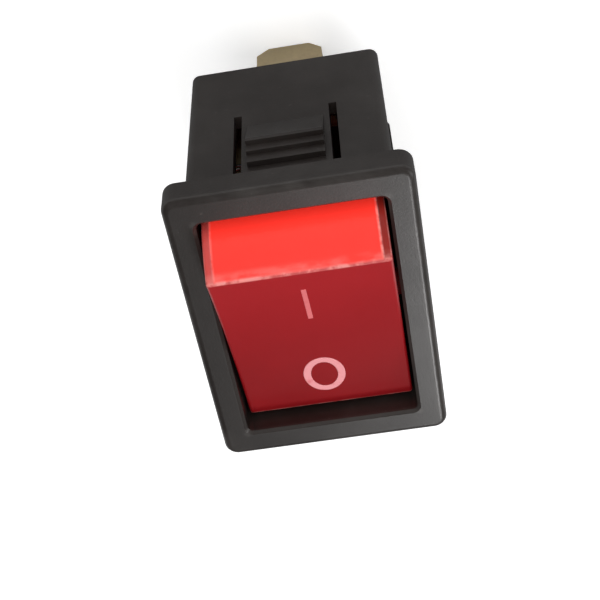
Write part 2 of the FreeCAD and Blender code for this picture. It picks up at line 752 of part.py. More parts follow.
def lamp_glass():
    """Glass envelope with a domed end, a drawn tip and a narrow foot."""
    x0 = LAMP_LOW_X
    x1 = LAMP_HIGH_X
    r = LAMP_R
    inner = r - LAMP_WALL
    dome_x = x1 - LAMP_DOME_L
    outline = [(x0, 0.0), (x0, 0.75 * r), (x0 + 0.9 * LAMP_FOOT_L, r), (dome_x, r)]
    outline += dome_points(dome_x, 0.75 * LAMP_DOME_L, r, 0.3)
    outline += [(x1, 0.15), (x1, 0.0)]
    start = x0 + LAMP_FOOT_L
    hollow = [(start, 0.0), (start, inner), (dome_x, inner)]
    hollow += dome_points(dome_x, 0.55 * LAMP_DOME_L, inner, 0.2)
    hollow.append((hollow[-1][0], 0.0))
    return lathe_x(outline).cut(lathe_x(hollow))


def lamp_parts():
    glass = lamp_glass()
    link = electrode("link")
    out = electrode("out")
    glass = glass.cut(link).cut(out)
    return in_rocker(glass), in_rocker(link), in_rocker(out)


def resistor_body():
    half = RESISTOR_HALF_X - CAP_END_T
    return in_rocker(rod_x(-half, half, RESISTOR_Y, RESISTOR_Z, RESISTOR_R))


def resistor_cap(side):
    x1 = RESISTOR_HALF_X
    x0 = x1 - CAP_L
    cap = rod_x(x0, x1, RESISTOR_Y, RESISTOR_Z, RESISTOR_CAP_R)
    cap = cap.makeChamfer(CAP_CHAMFER, [e for e in cap.Edges if abs(e.BoundBox.XMin - x1) < 1e-4])
    bore = rod_x(x0 - 0.1, x1 - CAP_END_T, RESISTOR_Y, RESISTOR_Z, RESISTOR_R)
    cap = cap.cut(bore)
    if side < 0:
        cap = cap.mirror(V(0, 0, 0), V(1, 0, 0))
    return in_rocker(cap)


def resistor_lead():
    """Lead from the resistor's +X cap to the eye on the load side's post."""
    path = [(RESISTOR_HALF_X, RESISTOR_Y, RESISTOR_Z), (SPRING_X, RESISTOR_Y, RESISTOR_Z)]
    path += [(SPRING_X, RESISTOR_Y - LEAD_SLOPE_Y, LOOP_Z), loop_edge(-1, 1)]
    return in_rocker(wire_run(path, LEAD_R).fuse(loop(-1)).removeSplitter())


def lead_sleeve():
    length = 2.0 * SLEEVE_HALF_Y
    tube = Part.makeCylinder(SLEEVE_R, length, V(-SPRING_X, -SLEEVE_HALF_Y, RESISTOR_Z), V(0, 1, 0))
    bore = Part.makeCylinder(LEAD_R, length + 0.2, V(-SPRING_X, -SLEEVE_HALF_Y - 0.1, RESISTOR_Z), V(0, 1, 0))
    return in_rocker(tube.cut(bore))


def lamp_spring(side):
    """Coil from a terminal's ear up to the rocker's post, switched off."""
    post_z = PIVOT_Z + turn(side * SPRING_POST_Y, 0.0, THROW_HALF)[1]
    drop = (SPRING_R + SPRING_WIRE_R) * math.sin(math.radians(THROW_HALF)) + REST_CLEAR
    return coil(
        -side * SPRING_X, side * TAB_PITCH, EAR_TOP_Z + 2.0 * REST_CLEAR, post_z - drop,
        SPRING_R, SPRING_WIRE_R, SPRING_TURNS,
    )


# Lever

def on_lever(shape):
    placed = shape.copy()
    placed.rotate(V(0, 0, 0), V(1, 0, 0), -LEVER_HALF_THROW)
    placed.translate(V(0, 0, FULCRUM_Z))
    return placed


def contact_lever():
    dip = LEVER_DIP_Y
    low_dip = LEVER_DIP_Y + LEVER_DIP_SPREAD
    edges = [line((-LEVER_LONG_Y, ARM_TOP), (-dip, ARM_TOP))]
    edges.append(arc((-dip, ARM_TOP), (0, LEVER_DIP_TOP), (dip, ARM_TOP)))
    edges.append(line((dip, ARM_TOP), (LEVER_SHORT_Y, ARM_TOP)))
    edges.append(line((LEVER_SHORT_Y, ARM_TOP), (LEVER_SHORT_Y, ARM_LOW)))
    edges.append(line((LEVER_SHORT_Y, ARM_LOW), (low_dip, ARM_LOW)))
    edges.append(arc((low_dip, ARM_LOW), (0, LEVER_DIP_TOP - LEVER_T), (-low_dip, ARM_LOW)))
    edges.append(line((-low_dip, ARM_LOW), (-LEVER_LONG_Y, ARM_LOW)))
    edges.append(line((-LEVER_LONG_Y, ARM_LOW), (-LEVER_LONG_Y, ARM_TOP)))
    strip = prism(edges, LEVER_X)
    strip = strip.makeFillet(LEVER_TIP_R, upright_edges(strip))
    bead = rod_x(-LEVER_X / 2.0, LEVER_X / 2.0, 0.0, 0.0, BEAD_R)
    hole = Part.makeCylinder(RIVET_R, LEVER_T + 0.2, V(0, contact_reach(), ARM_LOW - 0.1))
    return on_lever(strip.fuse(bead).cut(hole).removeSplitter())


def moving_contact():
    """Rivet with a domed head under the lever and a flat tail over it."""
    y = contact_reach()
    low = ARM_LOW - CONTACT_EDGE_T - CONTACT_DOME_H
    head = Part.makeCylinder(CONTACT_R, CONTACT_EDGE_T + CONTACT_DOME_H, V(0, y, low))
    ball = Part.makeSphere(CONTACT_DOME_R, V(0, y, dome_centre_n()))
    head = head.common(ball)
    shank = Part.makeCylinder(RIVET_R, LEVER_T + 0.1, V(0, y, ARM_LOW - 0.05))
    tail = Part.makeCylinder(RIVET_TAIL_R, RIVET_TAIL_T, V(0, y, ARM_TOP))
    tail = tail.makeChamfer(RIVET_TAIL_CHAMFER, edges_at(tail, ARM_TOP + RIVET_TAIL_T))
    return on_lever(head.multiFuse([shank, tail]).removeSplitter())


def save(name, shape):
    """Write one solid, checked, to its own file."""
    solids = shape.Solids
    if len(solids) != 1:
        raise RuntimeError("%s has %d solids" % (name, len(solids)))
    solid = solids[0]
    if not solid.isValid():
        raise RuntimeError("%s is not valid" % name)
    solid.exportStep("parts/%s.step" % name)


def main():
    os.makedirs("parts", exist_ok=True)
    glass, link, out = lamp_parts()
    nodes = {
        "housing": housing(),
        "load_terminal": load_terminal(),
        "fixed_contact": fixed_contact(),
        "common_terminal": common_terminal(),
        "lamp_terminal": lamp_terminal(),
        "load_lamp_spring": lamp_spring(-1),
        "neutral_lamp_spring": lamp_spring(1),
        "rocker": rocker(),
        "plunger": plunger(),
        "plunger_spring": plunger_spring(),
        "contact_lever": contact_lever(),
        "moving_contact": moving_contact(),
        "lamp_glass": glass,
        "lamp_electrode_link": link,
        "lamp_electrode_neutral": out,
        "resistor_body": resistor_body(),
        "resistor_cap_load": resistor_cap(1),
        "resistor_cap_lamp": resistor_cap(-1),
        "resistor_lead": resistor_lead(),
        "lead_sleeve": lead_sleeve(),
    }
    for name, shape in nodes.items():
        save(name, shape)


main()
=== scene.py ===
import json
import logging
import math
from dataclasses import dataclass, field
from enum import Enum
from typing import Any, Sequence

import bpy
from mathutils import Matrix, Vector

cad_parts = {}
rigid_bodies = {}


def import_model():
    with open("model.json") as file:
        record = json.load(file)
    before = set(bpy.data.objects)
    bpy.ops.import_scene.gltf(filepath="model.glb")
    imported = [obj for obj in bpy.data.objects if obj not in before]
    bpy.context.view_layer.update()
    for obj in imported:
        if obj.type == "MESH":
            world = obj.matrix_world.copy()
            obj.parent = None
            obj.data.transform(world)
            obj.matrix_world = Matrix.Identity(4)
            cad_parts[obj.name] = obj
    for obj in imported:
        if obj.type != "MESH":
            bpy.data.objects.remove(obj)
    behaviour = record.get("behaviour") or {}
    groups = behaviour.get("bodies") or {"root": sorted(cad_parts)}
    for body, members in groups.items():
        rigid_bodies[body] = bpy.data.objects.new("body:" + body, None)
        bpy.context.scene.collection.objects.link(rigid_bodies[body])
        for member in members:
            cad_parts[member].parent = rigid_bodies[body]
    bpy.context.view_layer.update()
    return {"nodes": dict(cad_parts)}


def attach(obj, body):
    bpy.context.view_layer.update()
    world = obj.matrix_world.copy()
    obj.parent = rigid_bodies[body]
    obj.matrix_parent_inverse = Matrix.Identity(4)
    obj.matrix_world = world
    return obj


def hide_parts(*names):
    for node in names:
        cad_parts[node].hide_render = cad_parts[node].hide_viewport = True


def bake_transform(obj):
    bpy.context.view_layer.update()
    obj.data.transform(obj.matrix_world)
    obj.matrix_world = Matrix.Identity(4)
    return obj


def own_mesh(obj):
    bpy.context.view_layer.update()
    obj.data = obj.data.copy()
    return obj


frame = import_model()

logging.basicConfig(level=logging.INFO, format="%(name)s: %(message)s")
LOG = logging.getLogger("rocker_switch")

MM = 0.001
Colour = tuple[float, float, float]
Span = tuple[float, float]
BLACK: Colour = (0.0, 0.0, 0.0)
WHITE: Colour = (1.0, 1.0, 1.0)

# Places of the Mix node's sockets when it blends colours.
MIX_FACTOR = 0
MIX_FIRST = 6
MIX_SECOND = 7
MIX_RESULT = 2


class Body(Enum):
    """Rigid bodies that pieces ride on."""

    SWITCH = "switch_body"
    ROCKER = "rocker_group"


class End(Enum):
    """The two ends of the rocker, by the sign of Y."""

    RAISED = 1.0
    PRESSED = -1.0


@dataclass(frozen=True)
class RockerForm:
    """The rocker's sizes, and where its own frame sits in the switched-off pose."""

    pivot_z: float = -1.1 * MM
    tilt: float = math.radians(16.0)
    half_length: float = 7.43 * MM
    half_width: float = 5.5 * MM
    face_height: float = 3.85 * MM
    dish: float = 0.4 * MM

    def to_row(self, point: Sequence[float]) -> Vector:
        """Bring a point from the rocker's frame to the row frame.

        Args:
            point: x, y, z in the rocker's frame, in metres.

        Returns:
            The point in the row frame.
        """
        turned = Matrix.Rotation(self.tilt, 3, "X") @ Vector(point)
        return turned + Vector((0.0, 0.0, self.pivot_z))

    def face_radius(self) -> float:
        """Radius of the face's dish."""
        return (self.half_length ** 2 + self.dish ** 2) / (2.0 * self.dish)


ROCKER = RockerForm()


@dataclass(frozen=True)
class Texture:
    """Settings of one noise, in metres; stretch multiplies the coordinates axis by axis."""

    scale: float
    detail: float
    rough: float
    stretch: tuple[float, float, float] | None = None


class Socket:
    """A node socket that takes part in Python arithmetic."""

    def __init__(self, graph: "Graph", out: Any) -> None:
        """Wrap one output socket of a graph."""
        self.graph = graph
        self.out = out

    def maths(self, operation: str, *others: Any) -> "Socket":
        """Add a Math node with this socket first.

        Args:
            operation: the Math node's operation.
            others: further inputs, sockets or numbers.

        Returns:
            The node's output.
        """
        return self.graph.make("ShaderNodeMath", {"operation": operation}, [self, *others])

    def __add__(self, other: Any) -> "Socket":
        """Sum."""
        return self.maths("ADD", other)

    def __radd__(self, other: Any) -> "Socket":
        """Reflected sum."""
        return self.maths("ADD", other)

    def __sub__(self, other: Any) -> "Socket":
        """Difference."""
        return self.maths("SUBTRACT", other)

    def __rsub__(self, other: float) -> "Socket":
        """Reflected difference."""
        return self.graph.make("ShaderNodeMath", {"operation": "SUBTRACT"}, [other, self])

    def __mul__(self, other: Any) -> "Socket":
        """Product."""
        return self.maths("MULTIPLY", other)

    def __rmul__(self, other: Any) -> "Socket":
        """Reflected product."""
        return self.maths("MULTIPLY", other)

    def __abs__(self) -> "Socket":
        """Absolute value."""
        return self.maths("ABSOLUTE")

    def most(self, other: Any) -> "Socket":
        """The larger of two values."""
        return self.maths("MAXIMUM", other)

    def ramp(self, low: float, high: float, start: float = 0.0, end: float = 1.0) -> "Socket":
        """Smooth step from start to end as the value goes from low to high.

        Args:
            low: value at which the result is start.
            high: value at which the result is end.
            start: result at low.
            end: result at high.

        Returns:
            The mapped value, held between the two ends.
        """
        return self.graph.make(
            "ShaderNodeMapRange",
            {"interpolation_type": "SMOOTHSTEP", "clamp": True},
            [self, low, high, start, end],
        )

    def near(self, centre: float, inside: float, outside: float) -> "Socket":
        """Soft band about one value.

        Args:
            centre: the band's middle.
            inside: distance up to which the result is 1.
            outside: distance from which the result is 0.

        Returns:
            The band's weight.
        """
        return 1.0 - abs(self - centre).ramp(inside, outside)

    def axes(self) -> tuple["Socket", "Socket", "Socket"]:
        """Split a vector into its x, y and z."""
        split = self.graph.node("ShaderNodeSeparateXYZ", {}, [self])
        return tuple(Socket(self.graph, split.outputs[i]) for i in range(3))

    def times(self, scale: Any) -> "Socket":
        """Vector multiplied axis by axis with another vector."""
        return self.graph.make("ShaderNodeVectorMath", {"operation": "MULTIPLY"}, [self, scale])


class Graph:
    """A node tree that is filled by short calls."""

    def __init__(self, tree: bpy.types.NodeTree) -> None:
        """Wrap a node tree."""
        self.tree = tree

    def node(self, kind: str, settings: dict[str, Any], values: Any) -> bpy.types.Node:
        """Add one node.

        Args:
            kind: the node's type name.
            settings: properties, set before the sockets are.
            values: socket values or links, a list by place or a dict by name or place.

        Returns:
            The new node.
        """
        made = self.tree.nodes.new(kind)
        for name, value in settings.items():
            setattr(made, name, value)
        pairs = enumerate(values) if isinstance(values, (list, tuple)) else values.items()
        for key, value in pairs:
            target = made.inputs[key]
            if isinstance(value, Socket):
                self.tree.links.new(value.out, target)
            else:
                target.default_value = value
        return made

    def make(self, kind: str, settings: dict[str, Any], values: Any, out: Any = 0) -> Socket:
        """Add one node and give back one of its outputs.

        Args:
            kind: the node's type name.
            settings: properties, set before the sockets are.
            values: socket values or links.
            out: the output's place or name.

        Returns:
            The wanted output.
        """
        return Socket(self, self.node(kind, settings, values).outputs[out])

    def mix(self, factor: Any, first: Any, second: Any) -> Socket:
        """Blend two colours.

        Args:
            factor: 0 gives first, 1 gives second.
            first: a colour or a socket.
            second: a colour or a socket.

        Returns:
            The blended colour.
        """
        tones = [tone if isinstance(tone, Socket) else (*tone, 1.0) for tone in (first, second)]
        values = {MIX_FACTOR: factor, MIX_FIRST: tones[0], MIX_SECOND: tones[1]}
        return self.make("ShaderNodeMix", {"data_type": "RGBA"}, values, MIX_RESULT)

    def noise(self, vector: Socket, grain: Texture) -> Socket:
        """Noise value between 0 and 1.

        Args:
            vector: coordinates in metres.
            grain: the noise's settings.

        Returns:
            The noise value.
        """
        if grain.stretch is not None:
            vector = vector.times(grain.stretch)
        values = {"Vector": vector, "Scale": grain.scale}
        values |= {"Detail": grain.detail, "Roughness": grain.rough}
        return self.make("ShaderNodeTexNoise", {"noise_dimensions": "3D"}, values, "Fac")

    def bump(self, height: Socket, depth: float, strength: float) -> Socket:
        """Normal from a height.

        Args:
            height: height between 0 and 1.
            depth: real depth in metres.
            strength: weight of the bump.

        Returns:
            The normal.
        """
        values = {"Height": height, "Distance": depth, "Strength": strength}
        return self.make("ShaderNodeBump", {}, values, "Normal")

    def principled(self, **values: Any) -> Socket:
        """Principled shader with the given inputs, named with underscores for spaces."""
        named = {key.replace("_", " "): value for key, value in values.items()}
        return self.make("ShaderNodeBsdfPrincipled", {}, named, "BSDF")

    def place(self) -> Socket:
        """Object coordinates."""
        return self.make("ShaderNodeTexCoord", {}, {}, "Object")


class Finish:
    """Common ground of the finishes: a named material with one surface.

    In a finish, a field that ends in matt adds roughness and one that ends in gloss takes
    it away. A share weighs a mask, and a least value is what is left where a mask is none.
    """

    name: str = "finish"
    base: Colour = (0.5, 0.5, 0.5)

    def material(self) -> bpy.types.Material:
        """Make the material.

        Returns:
            A new material with this finish's nodes.
        """
        mat = bpy.data.materials.new(self.name)
        mat.use_nodes = True
        mat.node_tree.nodes.clear()
        graph = Graph(mat.node_tree)
        graph.node("ShaderNodeOutputMaterial", {}, {"Surface": self.surface(graph)})
        mat.diffuse_color = (*self.flat(), 1.0)
        return mat

    def flat(self) -> Colour:
        """Plain colour for the viewport."""
        return self.base

    def surface(self, g: Graph) -> Socket:
        """Build the shader nodes and give back the shader."""
        raise NotImplementedError


@dataclass(frozen=True)
class SatinNylon(Finish):
    """Black moulded nylon: spark-eroded grain; the outer rims and the opening's lip are greyer,
    partly from handling wear and partly a painted sheen highlight.
    """

    name: str = "satin_nylon"
    base: Colour = (0.0155, 0.0122, 0.0108)
    # Grey for random clouds, and for the rims and lip, where it is partly wear and partly painted
    # sheen.
    wear_and_sheen: Colour = (0.062, 0.056, 0.052)
    dust: Colour = (0.085, 0.078, 0.072)
    grain: Texture = Texture(7200.0, 4.0, 0.62)
    cloud: Texture = Texture(160.0, 4.0, 0.6)
    speck: Texture = Texture(2600.0, 2.0, 0.5)
    grain_depth: float = 0.012 * MM
    bezel_half: Span = (7.5 * MM, 10.5 * MM)
    bezel_top: float = 2.0 * MM
    opening_half: Span = (5.75 * MM, 8.65 * MM)
    rim_reach: float = 0.75 * MM
    top_reach: float = 0.55 * MM
    lip_reach: float = 0.28 * MM
    lip_end: Span = (0.15 * MM, 0.35 * MM)
    grey_clouds: Span = (0.30, 0.75)
    grey_share: float = 0.27
    rim_wear_and_sheen_clouds: Span = (0.38, 0.72)
    rim_wear_and_sheen_share: float = 0.75
    lip_share: float = 0.45
    dust_specks: Span = (0.70, 0.80)
    dust_share: float = 0.35
    roughness: float = 0.40
    cloud_gloss: float = 0.10
    rub_gloss: float = 0.06
    grain_matt: float = 0.05
    grain_relief: float = 0.55

    def rim_wear_and_highlight(self, x: Socket, y: Socket, top: Socket) -> Socket:
        """Weight of the rim along the bezel's outer edges, lightened partly as wear and partly as
        painted highlight.

        Args:
            x: place across.
            y: place along.
            top: weight of the bezel's top.

        Returns:
            The weight.
        """
        rims = [
            abs(side).ramp(half - self.rim_reach, half)
            for side, half in zip((x, y), self.bezel_half)
        ]
        return rims[0].most(rims[1]) * top

    def lip_wear_and_highlight(self, x: Socket, y: Socket, top: Socket) -> Socket:
        """Weight of the lip round the rocker's opening, lightened partly as wear and partly as
        painted highlight.

        Args:
            x: place across.
            y: place along.
            top: weight of the bezel's top.

        Returns:
            The weight.
        """
        start, stop = self.lip_end
        pairs = list(zip((x, y), self.opening_half))
        lips = [abs(side).near(half, 0.0, self.lip_reach) for side, half in pairs]
        within = [1.0 - abs(side).ramp(half + start, half + stop) for side, half in pairs]
        return lips[0].most(lips[1]) * top * (within[0] * within[1])

    def surface(self, g: Graph) -> Socket:
        """Grain bump, outer edges and lip lightened partly as wear and partly as painted
        highlight, and a little dust in the low spots.

        Args:
            g: the graph to add nodes to.

        Returns:
            The shader.
        """
        p = g.place()
        x, y, z = p.axes()
        grain = g.noise(p, self.grain)
        cloud = g.noise(p, self.cloud)
        speck = g.noise(p, self.speck)
        top = z.ramp(self.bezel_top - self.top_reach, self.bezel_top)
        # Painted highlight, partly wear: the outer rims and the opening's lip turn grey where
        # light would catch them.
        rim_wear_and_sheen = self.rim_wear_and_highlight(x, y, top) * cloud.ramp(*self.rim_wear_and_sheen_clouds)
        lip = self.lip_wear_and_highlight(x, y, top) * self.lip_share
        grey = cloud.ramp(*self.grey_clouds) * self.grey_share
        colour = g.mix(grey, self.base, self.wear_and_sheen)
        colour = g.mix(rim_wear_and_sheen * self.rim_wear_and_sheen_share, colour, self.wear_and_sheen)
        colour = g.mix(lip, colour, self.wear_and_sheen)
        dusty = speck.ramp(*self.dust_specks) * self.dust_share
        colour = g.mix(dusty, colour, self.dust)
        rough = self.roughness - self.cloud_gloss * cloud
        rough = rough - self.rub_gloss * rim_wear_and_sheen + self.grain_matt * grain
        normal = g.bump(grain, self.grain_depth, self.grain_relief)
        return g.principled(
            Base_Color=colour, Roughness=rough, Normal=normal, IOR=1.53, Specular_IOR_Level=0.50
        )


@dataclass
class RockerSpot:
    """Where a shaded point lies on the rocker."""

    place: Socket
    across: Socket
    along: Socket
    high: Socket
    row_y: Socket

    @classmethod
    def of(cls, g: Graph) -> "RockerSpot":
        """Turn object coordinates into the rocker's frame.

        Args:
            g: the graph to add nodes to.

        Returns:
            The spot; row_y is the row frame's Y, the rest is in the rocker's frame.
        """
        place = g.place()
        x, y, z = place.axes()
        cos, sin = math.cos(ROCKER.tilt), math.sin(ROCKER.tilt)
        up = z - ROCKER.pivot_z
        return cls(place, x, y * cos + up * sin, up * cos - y * sin, y)


@dataclass(frozen=True)
class RedPolycarbonate(Finish):
    """Translucent red rocker: end walls painted brighter than the face as painted light, deep red
    face, polished, lightly scratched.
    """

    name: str = "red_polycarbonate"
    base: Colour = (0.425, 0.0098, 0.0150)
    face_painted_shade: Colour = (0.240, 0.0062, 0.0088)
    wall: Colour = (0.960, 0.050, 0.036)
    wall_low: Colour = (0.900, 0.032, 0.022)
    painted_highlight: Colour = (0.900, 0.330, 0.300)
    painted_glow: Colour = (0.420, 0.016, 0.010)
    painted_shade_left: Colour = (0.560, 0.075, 0.068)
    painted_shade_right: Colour = (0.190, 0.014, 0.010)
    streak: Texture = Texture(420.0, 4.0, 0.6, (1.0, 0.35, 0.35))
    cloud: Texture = Texture(130.0, 3.0, 0.5)
    blotch: Texture = Texture(520.0, 3.0, 0.6, (1.0, 2.0, 2.0))
    chip: Texture = Texture(900.0, 3.0, 0.65)
    scratch: Texture = Texture(180.0, 5.0, 0.7, (26.0, 1.5, 1.5))
    scratch_depth: float = 0.004 * MM
    wall_start: Span = (-0.02 * MM, 0.10 * MM)
    wall_heights: Span = (0.2 * MM, 3.9 * MM)
    lit_heights: Span = (0.9 * MM, 3.2 * MM)
    face_shading: Span = (-0.9, 0.95)
    side_blend: Span = (-1.0 * MM, 1.0 * MM)
    margin: Span = (0.56 * MM, 0.44 * MM)
    highlight_band: Span = (0.75 * MM, 0.30 * MM)
    ridge_line: Span = (0.04 * MM, 0.18 * MM)
    ridge_drop: Span = (0.25 * MM, 0.08 * MM)
    inner_in: float = 0.52 * MM
    inner_line: Span = (0.03 * MM, 0.12 * MM)
    outer_in: Span = (0.10 * MM, 0.03 * MM)
    outer_end: float = 0.01 * MM
    outer_share: float = 0.5
    ridge_share: float = 0.80
    corner_shares: Span = (0.30, 0.85)
    chips: Span = (0.40, 0.58)
    blotches: Span = (0.40, 0.70)
    blotch_share: float = 0.30
    face_clouds: Span = (0.25, 0.75)
    lit_shares: Span = (0.1, 1.0)
    height_share: float = 0.55
    streak_share: float = 0.25
    margin_least: float = 0.75
    painted_light_share: float = 0.8
    cloud_share: float = 0.2
    line_least: float = 0.30
    roughness: float = 0.24
    scratch_matt: float = 0.10
    cloud_matt: float = 0.06
    scratch_relief: float = 0.35

    def end_wall(self, spot: RockerSpot) -> Socket:
        """One on the two end walls, none on the face and sides."""
        low, high = (ROCKER.half_length + gap for gap in self.wall_start)
        return abs(spot.along).ramp(low, high)

    def painted_side_shade(self, spot: RockerSpot) -> Socket:
        """One on the strips along the side walls, where painted shade darkens the end walls."""
        low, high = (ROCKER.half_width - gap for gap in self.margin)
        return abs(spot.across).ramp(low, high)

    def below_ridge(self, spot: RockerSpot, drop: Span) -> Socket:
        """Rise from none to one between two drops below the face's height."""
        low, high = (ROCKER.face_height - gap for gap in drop)
        return spot.high.ramp(low, high)

    def glow(self, g: Graph, spot: RockerSpot, margin: Socket) -> Socket:
        """Colour of the end walls, a brighter copy of the red painted on as light.

        Args:
            g: the graph to add nodes to.
            spot: the shaded point.
            margin: weight of the side strips.

        Returns:
            The colour, streaky, with painted light that is brighter towards the ridge, and
            painted shade on the side strips.
        """
        streak = g.noise(spot.place, self.streak)
        depth = spot.high.ramp(*self.wall_heights)
        # Painted light: the wall is brighter towards the ridge and darker towards the opening.
        height = depth * self.height_share + streak * self.streak_share
        wall = g.mix(height, self.wall_low, self.wall)
        # Painted shade on the side strips, lighter on the left strip than on the right.
        dark = g.mix(spot.across.ramp(*self.side_blend), self.painted_shade_left, self.painted_shade_right)
        uneven = self.margin_least + (1.0 - self.margin_least) * streak
        return g.mix(margin * uneven, wall, dark)

    def painted_edge_highlights(self, g: Graph, spot: RockerSpot, end: Socket) -> Socket:
        """Weight of the painted highlights: pale, broken lines along the ridge and the end walls'
        corners, stronger on the +X side.

        Args:
            g: the graph to add nodes to.
            spot: the shaded point.
            end: weight of the end walls.

        Returns:
            The lines' weight.
        """
        ridge = abs(spot.along).near(ROCKER.half_length, *self.ridge_line)
        ridge = ridge * self.below_ridge(spot, self.ridge_drop)
        side = abs(spot.across)
        inner = side.near(ROCKER.half_width - self.inner_in, *self.inner_line)
        outer = side.ramp(*(ROCKER.half_width - gap for gap in self.outer_in))
        outer = outer * (1.0 - side.ramp(ROCKER.half_width - self.outer_end, ROCKER.half_width))
        shift = spot.across.ramp(*self.side_blend, *self.corner_shares)
        corner = inner.most(outer * self.outer_share) * end * shift
        broken = g.noise(spot.place, self.chip).ramp(*self.chips)
        uneven = self.line_least + (1.0 - self.line_least) * broken
        return (ridge * self.ridge_share).most(corner) * uneven

    def surface(self, g: Graph) -> Socket:
        """Colour by place on the moulding with painted light and shade, painted highlights along
        the edges, fine scratches.

        Args:
            g: the graph to add nodes to.

        Returns:
            The shader.
        """
        spot = RockerSpot.of(g)
        end = self.end_wall(spot)
        margin = self.painted_side_shade(spot)
        cloud = g.noise(spot.place, self.cloud)
        # Painted shade: the face is lighter towards the raised end and darker towards the pressed
        # end.
        near = spot.along.ramp(*(share * ROCKER.half_length for share in self.face_shading))
        painted_light_and_mottle = near * self.painted_light_share + cloud.ramp(*self.face_clouds) * self.cloud_share
        face = g.mix(painted_light_and_mottle, self.face_painted_shade, self.base)
        # Painted light: the end walls take the brighter wall colour, the face the deeper red.
        colour = g.mix(end, face, self.glow(g, spot, margin))
        # Painted highlight: a soft pale band in blotches just below the ridge on the end walls.
        blotch = g.noise(spot.place, self.blotch).ramp(*self.blotches)
        worn_ink_and_highlight = end * self.below_ridge(spot, self.highlight_band) * blotch * self.blotch_share
        colour = g.mix(worn_ink_and_highlight, colour, self.painted_highlight)
        # Painted highlights along the ridge and the end walls' corners.
        colour = g.mix(self.painted_edge_highlights(g, spot, end), colour, self.painted_highlight)
        # Painted glow: emission on the lower part of the end walls, near the opening, mostly on
        # the end towards +Y, lifting the shade there.
        lit = end * (1.0 - margin) * (1.0 - spot.high.ramp(*self.lit_heights))
        lit = lit * spot.row_y.ramp(*self.side_blend, *self.lit_shares)
        scratch = g.noise(spot.place, self.scratch)
        rough = self.roughness + self.scratch_matt * scratch + self.cloud_matt * cloud
        return g.principled(
            Base_Color=colour, Roughness=rough,
            Normal=g.bump(scratch, self.scratch_depth, self.scratch_relief), IOR=1.585,
            Subsurface_Weight=0.12, Subsurface_Radius=(1.0, 0.12, 0.08),
            Subsurface_Scale=0.6 * MM, Specular_IOR_Level=0.30,
            Coat_Weight=0.10, Coat_Roughness=0.12,
            Emission_Color=g.mix(lit, BLACK, self.painted_glow), Emission_Strength=1.0,
        )


@dataclass(frozen=True)
class PrintedInk(Finish):
    """Pale pad-printed ink, thin enough for the red to tint it."""

    name: str = "printed_ink"
    base: Colour = (0.900, 0.350, 0.370)
    thin: Colour = (0.780, 0.210, 0.230)
    film: Texture = Texture(1500.0, 4.0, 0.6)
    film_depth: float = 0.004 * MM
    thin_spots: Span = (0.52, 0.80)
    roughness: float = 0.42
    film_matt: float = 0.1
    relief: float = 0.4

    def surface(self, g: Graph) -> Socket:
        """Slight unevenness of the ink film.

        Args:
            g: the graph to add nodes to.

        Returns:
            The shader.
        """
        film = g.noise(g.place(), self.film)
        return g.principled(
            Base_Color=g.mix(film.ramp(*self.thin_spots), self.base, self.thin),
            Roughness=self.roughness + self.film_matt * film,
            Normal=g.bump(film, self.film_depth, self.relief),
        )


@dataclass(frozen=True)
class StampedStrip(Finish):
    """Stamped metal strip: rolling lines along it, dulled and finger-marked."""

    name: str = "stamped_strip"
    base: Colour = (0.740, 0.600, 0.360)
    dull: Colour = (0.430, 0.320, 0.190)
    lines: Texture = Texture(9000.0, 3.0, 0.6, (1.0, 1.0, 0.03))
    tarnish: Texture = Texture(330.0, 5.0, 0.62)
    pits: Texture = Texture(3600.0, 2.0, 0.5)
    line_depth: float = 0.003 * MM
    dulled: Span = (0.42, 0.78)
    dull_share: float = 0.7
    pitted: Span = (0.68, 0.78)
    pit_share: float = 0.5
    bright: Span = (0.30, 0.80)
    metal_shares: Span = (0.80, 0.55)
    roughness: float = 0.30
    tarnish_matt: float = 0.16
    line_matt: float = 0.06
    relief: float = 0.5

    def surface(self, g: Graph) -> Socket:
        """Rolling lines, tarnish clouds and small pits.

        Args:
            g: the graph to add nodes to.

        Returns:
            The shader.
        """
        p = g.place()
        lines = g.noise(p, self.lines)
        tarnish = g.noise(p, self.tarnish)
        pits = g.noise(p, self.pits)
        colour = g.mix(tarnish.ramp(*self.dulled) * self.dull_share, self.base, self.dull)
        colour = g.mix(pits.ramp(*self.pitted) * self.pit_share, colour, self.dull)
        return g.principled(
            Base_Color=colour, Metallic=tarnish.ramp(*self.bright, *self.metal_shares),
            Roughness=self.roughness + self.tarnish_matt * tarnish + self.line_matt * lines,
            Normal=g.bump(lines, self.line_depth, self.relief),
        )


@dataclass(frozen=True)
class DrawnWire(Finish):
    """Plated wire and rivets, cloudy over a fine grain."""

    name: str = "drawn_wire"
    base: Colour = (0.600, 0.600, 0.590)
    shade: Colour = (0.330, 0.325, 0.315)
    cloud: Texture = Texture(700.0, 4.0, 0.6)
    grain: Texture = Texture(12000.0, 2.0, 0.5)
    grain_depth: float = 0.002 * MM
    clouded: Span = (0.45, 0.80)
    cloud_share: float = 0.8
    roughness: float = 0.26
    cloud_matt: float = 0.14
    relief: float = 0.4

    def surface(self, g: Graph) -> Socket:
        """Cloudy plating over a fine grain.

        Args:
            g: the graph to add nodes to.

        Returns:
            The shader.
        """
        p = g.place()
        cloud = g.noise(p, self.cloud)
        grain = g.noise(p, self.grain)
        shaded = cloud.ramp(*self.clouded) * self.cloud_share
        return g.principled(
            Base_Color=g.mix(shaded, self.base, self.shade),
            Metallic=1.0, Roughness=self.roughness + self.cloud_matt * cloud,
            Normal=g.bump(grain, self.grain_depth, self.relief),
        )


